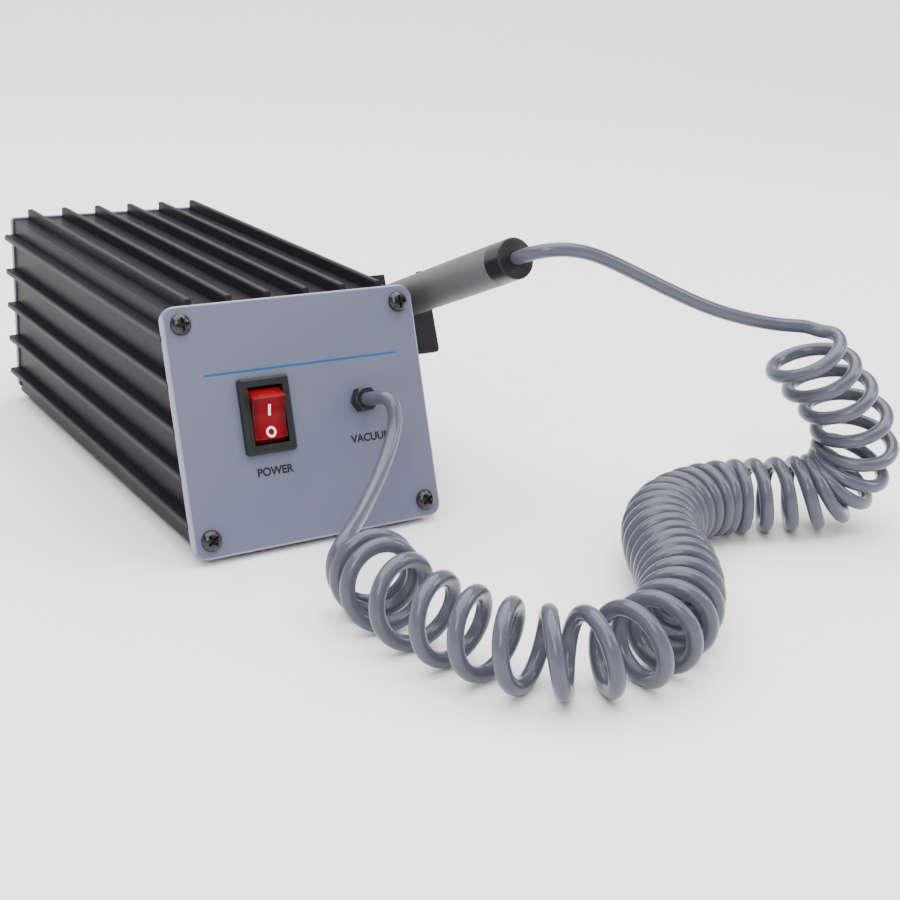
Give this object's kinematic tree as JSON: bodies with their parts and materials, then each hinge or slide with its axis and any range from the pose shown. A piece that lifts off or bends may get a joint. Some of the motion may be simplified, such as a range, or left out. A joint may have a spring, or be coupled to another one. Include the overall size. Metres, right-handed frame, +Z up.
{
  "type": "vacuum pickup system",
  "caption": "Bench-top vacuum pickup system: finned pump console with a leaning front plate, lit rocker switch, coiled air hose, and a vacuum pen held in a side holder.",
  "frame": {"origin": "table level, below the middle of the console with its pen and holder, the hose left out", "axes": "+X to the user's right, -Y towards the user, who faces the front plate, +Z up"},
  "size_m": [0.1986, 0.283, 0.0853],
  "materials": {
    "black_anodised": "black anodised satin extrusion",
    "holder_black": "black anodised sheet",
    "plate_grey": "blue-grey satin plate",
    "plate_pale": "clear anodised sheet",
    "screw_black": "glossy black oxide",
    "switch_black": "moulded, semi-gloss",
    "switch_red": "translucent red, lit",
    "fitting_black": "black plated brass",
    "hose_grey": "glossy slate-grey polyurethane",
    "pen_silver": "fine brushed, clear anodised",
    "pen_black": "turned, black anodised",
    "steel": "bright zinc-plated steel",
    "stainless": "drawn stainless tube",
    "pin_metal": "nickel-plated brass",
    "rubber_black": "matt black rubber",
    "plastic_black": "fine-grained black moulding",
    "copper": "enamelled copper winding",
    "ferrite": "ground ferrite",
    "laminations": "stacked electrical steel",
    "sintered": "sintered bronze",
    "pump_grey": "glass-filled grey plastic",
    "clear_tube": "clear soft tube",
    "lamp_glass": "small neon lamp"
  },
  "bodies": {
    "console": {"housing": "black_anodised", "front_plate": "plate_grey", "front_screws": "screw_black", "rear_plate": "plate_pale", "rear_screws": "screw_black", "feet": "rubber_black", "switch_housing": "switch_black", "switch_terminals": "pin_metal", "switch_lamp": "lamp_glass", "port_fitting": "fitting_black", "port_nut": "pin_metal", "port_seal": "rubber_black", "mains_inlet": "plastic_black", "inlet_pins": "pin_metal", "inlet_screws": "screw_black", "pump_base": "steel", "pump_grommets": "rubber_black", "pump_screws": "steel", "pump_core": "laminations", "pump_coil": "copper", "pivot_pin": "steel", "pump_diaphragm": "rubber_black", "diaphragm_clamp": "pump_grey", "clamp_screws": "steel", "pump_head": "pump_grey", "exhaust_muffler": "sintered", "inner_tube": "clear_tube", "pen_holder": "holder_black", "holder_screws": "screw_black", "pen_end_cap": "pen_black", "pen_body": "pen_silver", "pen_valve": "pin_metal", "button_spring": "steel", "pen_nose": "pen_black", "probe_tube": "stainless", "suction_cup": "rubber_black", "hose_lead_port": "hose_grey", "hose_coil": "hose_grey", "hose_lead_pen": "hose_grey"},
    "rocker": {"rocker": "switch_red"},
    "button": {"pen_button": "pen_black", "button_seal": "rubber_black"},
    "armature": {"pump_armature": "steel", "pump_magnet": "ferrite"}
  },
  "joints": [
    {"name": "rocker_tilt", "type": "hinge", "parent": "console", "child": "rocker", "pos_m": [-0.02375, -0.06301, 0.03514], "axis": [-1, 0, 0], "range_deg": [0, 20]},
    {"name": "button_press", "type": "slide", "parent": "console", "child": "button", "axis": [0, -0.3971, -0.9178], "range_m": [0, 0.0012], "stiffness_N_per_m": 600, "springref_m": -0.001, "deforming": ["button_spring"]},
    {"name": "armature_swing", "type": "hinge", "parent": "console", "child": "armature", "pos_m": [-0.0111, 0.02073, 0.0196], "axis": [1, 0, 0], "range_deg": [-1, 1], "stiffness_Nm_per_rad": 0.3, "deforming": ["pump_diaphragm"]}
  ]
}
